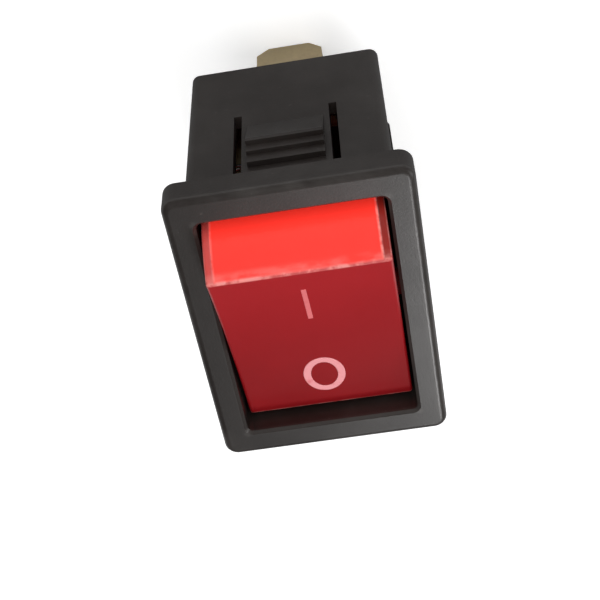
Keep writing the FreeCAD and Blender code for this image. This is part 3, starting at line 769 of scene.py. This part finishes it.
@dataclass(frozen=True)
class PlainMoulding(Finish):
    """Small moulded or coated piece with soft mottling."""

    name: str = "plain_moulding"
    base: Colour = (0.800, 0.760, 0.660)
    shade: Colour = (0.620, 0.570, 0.470)
    mottle: Texture = Texture(420.0, 4.0, 0.55)
    grain: Texture = Texture(8000.0, 3.0, 0.6)
    grain_depth: float = 0.006 * MM
    mottled: Span = (0.35, 0.80)
    roughness: float = 0.40
    grain_matt: float = 0.12
    relief: float = 0.4

    def surface(self, g: Graph) -> Socket:
        """Mottle and fine grain.

        Args:
            g: the graph to add nodes to.

        Returns:
            The shader.
        """
        p = g.place()
        mottle = g.noise(p, self.mottle)
        grain = g.noise(p, self.grain)
        return g.principled(
            Base_Color=g.mix(mottle.ramp(*self.mottled), self.base, self.shade),
            Roughness=self.roughness + self.grain_matt * grain,
            Normal=g.bump(grain, self.grain_depth, self.relief),
        )


@dataclass(frozen=True)
class BandedLacquer(Finish):
    """Resistor lacquer with four value bands round it."""

    name: str = "banded_lacquer"
    base: Colour = (0.610, 0.430, 0.250)
    shade: Colour = (0.450, 0.290, 0.150)
    bands: tuple[tuple[float, Colour], ...] = (
        (-0.95 * MM, (0.230, 0.055, 0.016)),
        (-0.35 * MM, (0.016, 0.014, 0.013)),
        (0.25 * MM, (0.640, 0.400, 0.020)),
        (0.95 * MM, (0.560, 0.370, 0.120)),
    )
    band_line: Span = (0.13 * MM, 0.17 * MM)
    mottle: Texture = Texture(900.0, 3.0, 0.5)
    mottle_depth: float = 0.01 * MM
    mottled: Span = (0.40, 0.80)
    mottle_share: float = 0.4
    roughness: float = 0.30
    mottle_matt: float = 0.1
    relief: float = 0.4

    def surface(self, g: Graph) -> Socket:
        """Bands by distance along X on a mottled lacquer.

        Args:
            g: the graph to add nodes to.

        Returns:
            The shader.
        """
        p = g.place()
        x, _, _ = p.axes()
        mottle = g.noise(p, self.mottle)
        shaded = mottle.ramp(*self.mottled) * self.mottle_share
        colour = g.mix(shaded, self.base, self.shade)
        for centre, tone in self.bands:
            colour = g.mix(x.near(centre, *self.band_line), colour, tone)
        return g.principled(
            Base_Color=colour, Coat_Weight=0.4,
            Roughness=self.roughness + self.mottle_matt * mottle,
            Normal=g.bump(mottle, self.mottle_depth, self.relief),
        )


@dataclass(frozen=True)
class LampGlass(Finish):
    """Thin clear glass, faintly smoked near the foot."""

    name: str = "lamp_glass"
    base: Colour = (0.900, 0.930, 0.920)
    smoked: Colour = (0.420, 0.400, 0.380)
    foot_x: Span = (-2.5 * MM, -0.8 * MM)
    streak: Texture = Texture(500.0, 3.0, 0.5)
    clear_alpha: float = 0.30
    smoked_alpha: float = 0.75
    foot_least: float = 0.6
    roughness: float = 0.05
    streak_matt: float = 0.06

    def surface(self, g: Graph) -> Socket:
        """Mostly see-through, denser at the foot.

        Args:
            g: the graph to add nodes to.

        Returns:
            The shader.
        """
        p = g.place()
        x, _, _ = p.axes()
        streak = g.noise(p, self.streak)
        uneven = self.foot_least + (1.0 - self.foot_least) * streak
        foot = (1.0 - x.ramp(*self.foot_x)) * uneven
        return g.principled(
            Base_Color=g.mix(foot, self.base, self.smoked),
            Roughness=self.roughness + self.streak_matt * streak,
            Alpha=self.clear_alpha + (self.smoked_alpha - self.clear_alpha) * foot, IOR=1.5,
        )


LEVER_LINES = Texture(9000.0, 3.0, 0.6, (1.0, 0.03, 1.0))
LEVER_COPPER: dict[str, Colour] = {"base": (0.720, 0.370, 0.220), "dull": (0.360, 0.170, 0.100)}
SILVER: dict[str, Colour] = {"base": (0.83, 0.82, 0.79), "shade": (0.50, 0.49, 0.46)}
LACQUER: dict[str, Colour] = {"base": (0.61, 0.43, 0.25), "shade": (0.45, 0.29, 0.15)}
RUBBER: dict[str, Colour] = {"base": (0.030, 0.030, 0.032), "shade": (0.060, 0.058, 0.056)}
LAMP_LEAD: Colour = (0.56, 0.55, 0.52)
RESISTOR_LEAD: Colour = (0.66, 0.65, 0.62)

FINISHES: dict[str, Finish] = {
    "housing": SatinNylon(),
    "rocker": RedPolycarbonate(),
    "load_terminal": StampedStrip(name="tab_strip_load"),
    "common_terminal": StampedStrip(name="tab_strip_common"),
    "lamp_terminal": StampedStrip(name="tab_strip_lamp"),
    "contact_lever": StampedStrip(name="lever_strip", lines=LEVER_LINES, **LEVER_COPPER),
    "fixed_contact": DrawnWire(name="fixed_contact_silver", **SILVER),
    "moving_contact": DrawnWire(name="moving_contact_silver", **SILVER),
    "plunger": PlainMoulding(name="ivory_acetal"),
    "lamp_glass": LampGlass(),
    "lamp_electrode_link": DrawnWire(name="link_lead", base=LAMP_LEAD),
    "lamp_electrode_neutral": DrawnWire(name="neutral_lead", base=LAMP_LEAD),
    "resistor_body": BandedLacquer(),
    "resistor_cap_load": PlainMoulding(name="cap_lacquer_load", **LACQUER),
    "resistor_cap_lamp": PlainMoulding(name="cap_lacquer_lamp", **LACQUER),
    "resistor_lead": DrawnWire(name="resistor_lead_tin", base=RESISTOR_LEAD),
    "lead_sleeve": PlainMoulding(name="sleeve_rubber", roughness=0.55, **RUBBER),
}


class ShapeTree:
    """A Geometry Nodes tree with named inputs, turned into a plain mesh."""

    def __init__(self, piece: str, sizes: dict[str, float]) -> None:
        """Start a tree.

        Args:
            piece: name of the piece that the tree makes.
            sizes: named inputs and their values.
        """
        self.piece = piece
        self.tree = bpy.data.node_groups.new(f"{piece}_tree", "GeometryNodeTree")
        self.sizes = sizes
        self.ids: dict[str, str] = {}
        sockets = self.tree.interface
        sockets.new_socket("Geometry", in_out="INPUT", socket_type="NodeSocketGeometry")
        for label, value in sizes.items():
            item = sockets.new_socket(label, in_out="INPUT", socket_type="NodeSocketFloat")
            item.default_value = value
            self.ids[label] = item.identifier
        sockets.new_socket("Geometry", in_out="OUTPUT", socket_type="NodeSocketGeometry")
        self.graph = Graph(self.tree)
        self.inputs = self.graph.node("NodeGroupInput", {}, {})

    def size(self, label: str) -> Socket:
        """The tree's own input of that name."""
        return Socket(self.graph, self.inputs.outputs[label])

    def sweep(self, line: Socket, profile: Socket) -> Socket:
        """Closed body of the profile drawn along the line."""
        values = {"Curve": line, "Profile Curve": profile, "Fill Caps": True}
        return self.graph.make("GeometryNodeCurveToMesh", {}, values)

    def straight(self, start: Vector, end: Vector, points: int) -> Socket:
        """Straight curve with evenly spaced points.

        Args:
            start: its first point.
            end: its last point.
            points: how many points it has.

        Returns:
            The curve.
        """
        g = self.graph
        ends = {"Start": tuple(start), "End": tuple(end)}
        line = g.make("GeometryNodeCurvePrimitiveLine", {}, ends)
        return g.make("GeometryNodeResampleCurve", {}, {"Curve": line, "Count": points})

    def circle(self, radius: Any, points: int) -> Socket:
        """Round curve about the origin, in the XY plane."""
        values = {"Resolution": points, "Radius": radius}
        return self.graph.make("GeometryNodeCurvePrimitiveCircle", {"mode": "RADIUS"}, values)

    def moved(self, shape: Socket, spot: Socket) -> Socket:
        """The shape with its points set to new places."""
        values = {"Geometry": shape, "Position": spot}
        return self.graph.make("GeometryNodeSetPosition", {}, values)

    def bake(self, shape: Socket, material: bpy.types.Material) -> bpy.types.Object:
        """Finish the tree, evaluate it and keep the mesh.

        Args:
            shape: the geometry to give out.
            material: the material to set.

        Returns:
            An object with a plain mesh and no modifier.
        """
        g = self.graph
        real = g.make("GeometryNodeRealizeInstances", {}, [shape])
        dressed = g.make("GeometryNodeSetMaterial", {}, {"Geometry": real, "Material": material})
        g.node("NodeGroupOutput", {}, [dressed])
        carrier = bpy.data.objects.new(self.piece, bpy.data.meshes.new(f"{self.piece}_seed"))
        bpy.context.scene.collection.objects.link(carrier)
        modifier = carrier.modifiers.new("shape", "NODES")
        modifier.node_group = self.tree
        for label, value in self.sizes.items():
            modifier[self.ids[label]] = value
        evaluated = carrier.evaluated_get(bpy.context.evaluated_depsgraph_get())
        mesh = bpy.data.meshes.new_from_object(evaluated)
        carrier.modifiers.remove(modifier)
        carrier.data = mesh
        if not mesh.materials:
            mesh.materials.append(material)
        LOG.info("%s: %d faces", self.piece, len(mesh.polygons))
        return carrier


@dataclass
class CoilSpring:
    """Round-wire compression spring with closed end coils."""

    piece: str
    node: str
    body: Body | None
    axis_low: Vector
    axis_high: Vector
    radius: float = 0.62 * MM
    wire: float = 0.11 * MM
    turns: float = 8.0
    points_per_turn: int = 20
    wire_sides: int = 8
    slot: str = "spring_steel"
    finish: Finish = field(default_factory=lambda: DrawnWire(name="spring_wire"))

    def centre_line(self, tree: ShapeTree) -> Socket:
        """Helix whose pitch closes up at both ends.

        Args:
            tree: the tree to add nodes to.

        Returns:
            The curve, standing on the origin along Z.
        """
        g = tree.graph
        height, wire = tree.size("height"), tree.size("wire")
        points = int(self.turns * self.points_per_turn)
        base = tree.straight(Vector((0.0, 0.0, 0.0)), Vector((0.0, 0.0, 1.0)), points)
        t = g.make("GeometryNodeSplineParameter", {}, {}, "Factor")
        closed = 1.0 / self.turns
        pitch = 2.0 * self.wire

        def part(low: float, high: float, rise: Any) -> Socket:
            """Linear rise between two places along the wire."""
            return g.make("ShaderNodeMapRange", {"clamp": True}, [t, low, high, 0.0, rise])

        free = height - wire * 2.0 - 2.0 * pitch
        z = part(0.0, closed, pitch) + part(closed, 1.0 - closed, free)
        z = z + part(1.0 - closed, 1.0, pitch) + wire
        angle = t * (2.0 * math.pi * self.turns)
        x = angle.maths("COSINE") * tree.size("radius")
        y = angle.maths("SINE") * tree.size("radius")
        return tree.moved(base, g.make("ShaderNodeCombineXYZ", {}, [x, y, z]))

    def build(self) -> bpy.types.Object:
        """Make the spring, place it and hand it to its body, if it has one.

        Returns:
            The finished piece.
        """
        way = self.axis_high - self.axis_low
        sizes = {"height": way.length, "radius": self.radius, "wire": self.wire}
        tree = ShapeTree(self.piece, sizes)
        tube = tree.sweep(self.centre_line(tree), tree.circle(tree.size("wire"), self.wire_sides))
        tube = tree.graph.make("GeometryNodeSetShadeSmooth", {}, [tube])
        piece = tree.bake(tube, self.finish.material())
        turn = Vector((0.0, 0.0, 1.0)).rotation_difference(way).to_matrix().to_4x4()
        piece.data.transform(Matrix.Translation(self.axis_low) @ turn)
        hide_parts(self.node)
        if self.body is not None:
            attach(piece, self.body.value)
        return piece


@dataclass
class PrintedMark:
    """Stroke of ink that follows the rocker's dished face."""

    piece: str
    centre_y: float
    half_x: float
    half_y: float
    stroke: float
    ring: bool
    film: float = 0.03 * MM
    proud: float = 0.3
    bar_points: int = 24
    ring_points: int = 96
    profile_points: int = 24
    finish: Finish = field(default_factory=PrintedInk)

    def path(self, tree: ShapeTree) -> Socket:
        """Middle line of the stroke, flat, about the mark's centre.

        Args:
            tree: the tree to add nodes to.

        Returns:
            The curve.
        """
        g = tree.graph
        if not self.ring:
            end = Vector((0.0, self.half_y, 0.0))
            return tree.straight(-end, end, self.bar_points)
        loop = tree.circle(1.0, self.ring_points)
        spot = g.make("GeometryNodeInputPosition", {}, {})
        halves = [tree.size("half_x"), tree.size("half_y"), 1.0]
        return tree.moved(loop, spot.times(g.make("ShaderNodeCombineXYZ", {}, halves)))

    def on_face(self, tree: ShapeTree, body: Socket) -> Socket:
        """Lay a flat body on the dished face, at the mark's place.

        Args:
            tree: the tree to add nodes to.
            body: the flat body.

        Returns:
            The body, with its film a little proud of the face.
        """
        g = tree.graph
        across, y, z = g.make("GeometryNodeInputPosition", {}, {}).axes()
        along = y + self.centre_y
        radius = ROCKER.face_radius()
        rise = radius - (radius ** 2 - along * along).maths("SQRT")
        level = z + rise + (ROCKER.face_height - ROCKER.dish + self.proud * self.film)
        return tree.moved(body, g.make("ShaderNodeCombineXYZ", {}, [across, along, level]))

    def build(self) -> bpy.types.Object:
        """Make the ink film, lay it on the face and hand it to the rocker.

        Returns:
            The finished piece.
        """
        sizes = {
            "half_x": self.half_x, "half_y": self.half_y, "stroke": self.stroke, "film": self.film
        }
        tree = ShapeTree(self.piece, sizes)
        g = tree.graph
        line = self.path(tree)
        strip = g.make(
            "GeometryNodeCurvePrimitiveQuadrilateral", {"mode": "RECTANGLE"},
            {"Width": tree.size("stroke"), "Height": tree.size("film")},
        )
        values = {"Curve": strip, "Count": self.profile_points}
        strip = g.make("GeometryNodeResampleCurve", {}, values)
        body = self.on_face(tree, tree.sweep(line, strip))
        piece = tree.bake(body, self.finish.material())
        for vertex in piece.data.vertices:
            vertex.co = ROCKER.to_row(vertex.co)
        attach(piece, Body.ROCKER.value)
        return piece


@dataclass
class Marks:
    """The two marks on the rocker, the bar on the raised end and the ring on the pressed one."""

    bar_y: float = 0.5238 * ROCKER.half_length * End.RAISED.value
    bar_half_length: float = 1.66 * MM
    bar_stroke: float = 0.31 * MM
    ring_y: float = 0.5562 * ROCKER.half_length * End.PRESSED.value
    ring_half: Span = (1.12 * MM, 1.56 * MM)
    ring_stroke: float = 0.50 * MM
    worn_ink_and_highlight: Finish = field(
        default_factory=lambda: PrintedInk(
            name="printed_ink_worn", base=(0.800, 0.180, 0.190), thin=(0.640, 0.105, 0.118)
        )
    )

    def build(self) -> None:
        """Lay both marks on the face."""
        PrintedMark(
            "mark_on_bar", self.bar_y, 0.0, self.bar_half_length, self.bar_stroke, False,
            finish=self.worn_ink_and_highlight,
        ).build()
        PrintedMark("mark_off_ring", self.ring_y, *self.ring_half, self.ring_stroke, True).build()


@dataclass
class Springs:
    """The switch's three coil springs."""

    spring_x: float = 3.7 * MM
    spring_y: float = 5.766 * MM
    ear_z: float = -7.46 * MM
    low_top_z: float = -2.98 * MM
    high_top_z: float = 0.33 * MM
    high_keep: float = 0.575
    peg_top_z: float = -6.60 * MM
    pin_low_z: float = -3.35 * MM
    plunger_low: float = -1.38 * MM
    plunger_high: float = 2.43 * MM
    plunger_travel: float = 0.60 * MM
    plunger_radius: float = 0.78 * MM
    plunger_wire: float = 0.12 * MM
    plunger_turns: float = 7.0

    def load_side(self) -> None:
        """Lamp spring under the pressed end, made at one length and given to no body."""
        x, y = -End.PRESSED.value * self.spring_x, End.PRESSED.value * self.spring_y
        low, high = Vector((x, y, self.ear_z)), Vector((x, y, self.low_top_z))
        spring = CoilSpring("load_lamp_coil", "load_lamp_spring", None, low, high).build()
        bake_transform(spring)

    def neutral_side(self) -> None:
        """Lamp spring under the raised end, made at one length and riding on the switch body."""
        x, y = -End.RAISED.value * self.spring_x, End.RAISED.value * self.spring_y
        low, high = Vector((x, y, self.ear_z)), Vector((x, y, self.high_top_z))
        spring = CoilSpring(
            "neutral_lamp_coil", "neutral_lamp_spring", Body.SWITCH, low, high
        ).build()
        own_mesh(spring)

    def plunger_side(self) -> None:
        """Plunger spring in the rocker's tube, made at one length and riding on the rocker."""
        low = ROCKER.to_row((0.0, 0.0, self.plunger_low))
        high = ROCKER.to_row((0.0, 0.0, self.plunger_high))
        spring = CoilSpring(
            "plunger_coil", "plunger_spring", Body.ROCKER, low, high,
            radius=self.plunger_radius, wire=self.plunger_wire, turns=self.plunger_turns,
        ).build()
        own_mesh(spring)

    def build(self) -> None:
        """Make the lamp springs and the plunger spring."""
        self.load_side()
        self.neutral_side()
        self.plunger_side()


@dataclass
class CadNodes:
    """The CAD solids that are shown as they are, with their finishes."""

    finishes: dict[str, Finish] = field(default_factory=lambda: FINISHES)

    def build(self) -> None:
        """Give each shown node its material."""
        for name, finish in self.finishes.items():
            node = frame["nodes"][name]
            material = finish.material()
            node.data.materials.clear()
            node.data.materials.append(material)
            LOG.info("%s: %s", name, material.name)


@dataclass(frozen=True)
class Lamp:
    """One square soft lamp that faces the part."""

    name: str
    at: tuple[float, float, float]
    size: float
    watts: float
    mirrored: bool

    def build(self) -> None:
        """Stand the lamp in its place."""
        data = bpy.data.lights.new(self.name, "AREA")
        data.shape = "SQUARE"
        data.size = self.size
        data.energy = self.watts
        at = Vector(self.at)
        lamp = bpy.data.objects.new(self.name, data)
        turn = (-at).to_track_quat("-Z", "Y").to_matrix().to_4x4()
        lamp.matrix_world = Matrix.Translation(at) @ turn
        lamp.visible_glossy = self.mirrored
        bpy.context.scene.collection.objects.link(lamp)


def rays(g: Graph, *names: str) -> Socket:
    """One on rays of the named kinds, none on others.

    Args:
        g: the graph to add nodes to.
        names: kinds of ray, as the Light Path node names them.

    Returns:
        The weight.
    """
    paths = g.node("ShaderNodeLightPath", {}, {})
    found = Socket(g, paths.outputs[f"Is {names[0]} Ray"])
    for name in names[1:]:
        found = found.most(Socket(g, paths.outputs[f"Is {name} Ray"]))
    return found


@dataclass(frozen=True)
class Paper(Finish):
    """Floor paper: white to the camera, greyer in reflections with painted shade near the part,
    clear from below.
    """

    name: str = "floor_paper"
    base: Colour = (0.93, 0.93, 0.93)
    lift: Colour = (0.36, 0.36, 0.36)
    lift_reach: Span = (0.04, 0.40)
    painted_shade_near: Colour = (0.26, 0.26, 0.26)
    painted_shade_reach: Span = (0.035, 0.090)

    def surface(self, g: Graph) -> Socket:
        """Plain paper, lifted for camera and transmission rays, and greyer for glossy ones with
        painted shade darkest near the part.

        Args:
            g: the graph to add nodes to.

        Returns:
            The shader.
        """
        far = g.make("ShaderNodeVectorMath", {"operation": "LENGTH"}, [g.place()], "Value")
        tone = g.mix(far.ramp(*self.lift_reach), self.lift, WHITE)
        paper = g.make("ShaderNodeBsdfDiffuse", {}, {"Color": (*self.base, 1.0)})
        white = g.make("ShaderNodeEmission", {}, {"Color": tone, "Strength": 1.0})
        lifted = g.make("ShaderNodeAddShader", {}, [paper, white])
        # Painted shade: in reflections the floor is darkest near the part and reaches the paper's
        # colour further out.
        painted_shade_near = g.mix(far.ramp(*self.painted_shade_reach), self.painted_shade_near, self.base)
        grey = g.make("ShaderNodeBsdfDiffuse", {}, {"Color": painted_shade_near})
        shown = g.make("ShaderNodeMixShader", {}, [rays(g, "Glossy"), paper, grey])
        seen = rays(g, "Camera", "Transmission")
        shown = g.make("ShaderNodeMixShader", {}, [seen, shown, lifted])
        under = g.make("ShaderNodeNewGeometry", {}, {}, "Backfacing")
        clear = g.make("ShaderNodeBsdfTransparent", {}, {})
        return g.make("ShaderNodeMixShader", {}, [under, shown, clear])


@dataclass
class Studio:
    """Floor, world, lamps and camera."""

    floor_z: float = -23.01 * MM
    floor_half: float = 1.5
    fill: float = 0.12
    lamps: tuple[Lamp, ...] = (
        Lamp("key", (0.06, 0.25, 0.10), 0.26, 0.40, mirrored=False),
        Lamp("top", (-0.05, 0.08, 0.26), 0.22, 0.48, mirrored=False),
        Lamp("side", (0.24, -0.02, 0.12), 0.14, 0.14, mirrored=True),
        Lamp("sheen", (0.060, -0.187, 0.225), 0.07, 0.29, mirrored=True),
    )
    camera_at: tuple[float, float, float] = (5.946 * MM, 52.578 * MM, 65.603 * MM)
    looking: tuple[float, float, float] = (-0.079204, -0.620304, -0.780353)
    image_up: tuple[float, float, float] = (0.141742, 0.767850, -0.624752)
    focal: float = 79.67
    sensor: float = 36.0
    clip: Span = (0.002, 20.0)

    def floor(self) -> None:
        """Pale floor that shows white to the camera and keeps shadows."""
        half, z = self.floor_half, self.floor_z
        corners = [(-half, -half, z), (half, -half, z), (half, half, z), (-half, half, z)]
        mesh = bpy.data.meshes.new("floor")
        mesh.from_pydata(corners, [], [(0, 1, 2, 3)])
        mesh.materials.append(Paper().material())
        floor = bpy.data.objects.new("floor", mesh)
        bpy.context.scene.collection.objects.link(floor)

    def world(self) -> None:
        """Even pale light from all round, white where the camera looks."""
        world = bpy.data.worlds.new("studio")
        bpy.context.scene.world = world
        world.use_nodes = True
        world.node_tree.nodes.clear()
        g = Graph(world.node_tree)
        fill, white = (
            g.make("ShaderNodeBackground", {}, {"Color": (*WHITE, 1.0), "Strength": strength})
            for strength in (self.fill, 1.0)
        )
        both = g.make("ShaderNodeMixShader", {}, [rays(g, "Camera"), fill, white])
        g.node("ShaderNodeOutputWorld", {}, {"Surface": both})

    def camera(self) -> None:
        """Camera at the photograph's viewing angle."""
        data = bpy.data.cameras.new("camera")
        data.lens = self.focal
        data.sensor_width = self.sensor
        data.clip_start, data.clip_end = self.clip
        back = -Vector(self.looking).normalized()
        right = Vector(self.image_up).cross(back).normalized()
        basis = Matrix((right, back.cross(right), back)).transposed().to_4x4()
        camera = bpy.data.objects.new("camera", data)
        camera.matrix_world = Matrix.Translation(self.camera_at) @ basis
        bpy.context.scene.collection.objects.link(camera)
        bpy.context.scene.camera = camera

    def build(self) -> None:
        """Set the whole stage."""
        self.floor()
        self.world()
        for lamp in self.lamps:
            lamp.build()
        self.camera()
        bpy.context.scene.view_settings.view_transform = "Standard"


def main() -> None:
    """Dress the switch and set the stage."""
    parts: list[Any] = [Studio(), CadNodes(), Springs(), Marks()]
    for part in parts:
        part.build()
        LOG.info("built %s", type(part).__name__)


if __name__ == "__main__":
    main()
